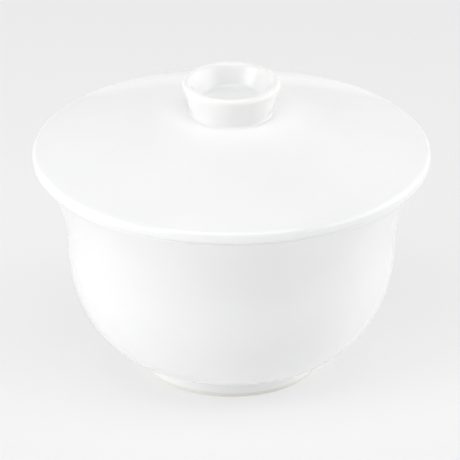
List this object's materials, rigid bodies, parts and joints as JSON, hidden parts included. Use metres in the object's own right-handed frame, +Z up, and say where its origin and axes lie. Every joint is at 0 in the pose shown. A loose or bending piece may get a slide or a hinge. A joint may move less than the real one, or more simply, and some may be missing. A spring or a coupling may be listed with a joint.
{
  "type": "lidded rice bowl",
  "caption": "White porcelain donburi rice bowl with a full belly, flared rim and turned foot, closed by a low domed lid that lifts off by a cupped knob.",
  "frame": {"origin": "centre of the plane that the foot ring stands on", "axes": "+Z up along the axis that the bowl and lid are turned about; X and Y are alike"},
  "size_m": [0.152, 0.152, 0.1181],
  "materials": {
    "porcelain_glaze": "clear glossy glaze over white porcelain",
    "foot_porcelain": "clear glossy glaze that stops above a bare, smoothed standing edge"
  },
  "bodies": {
    "bowl": {"bowl_body": "porcelain_glaze", "foot_ring": "foot_porcelain"},
    "lid": {"lid_cover": "porcelain_glaze", "lid_flange": "porcelain_glaze", "lid_knob": "porcelain_glaze"}
  },
  "joints": [
    {"name": "lid_lift", "type": "slide", "parent": "bowl", "child": "lid", "axis": [0, 0, 1], "range_m": [0, 0.1]}
  ]
}
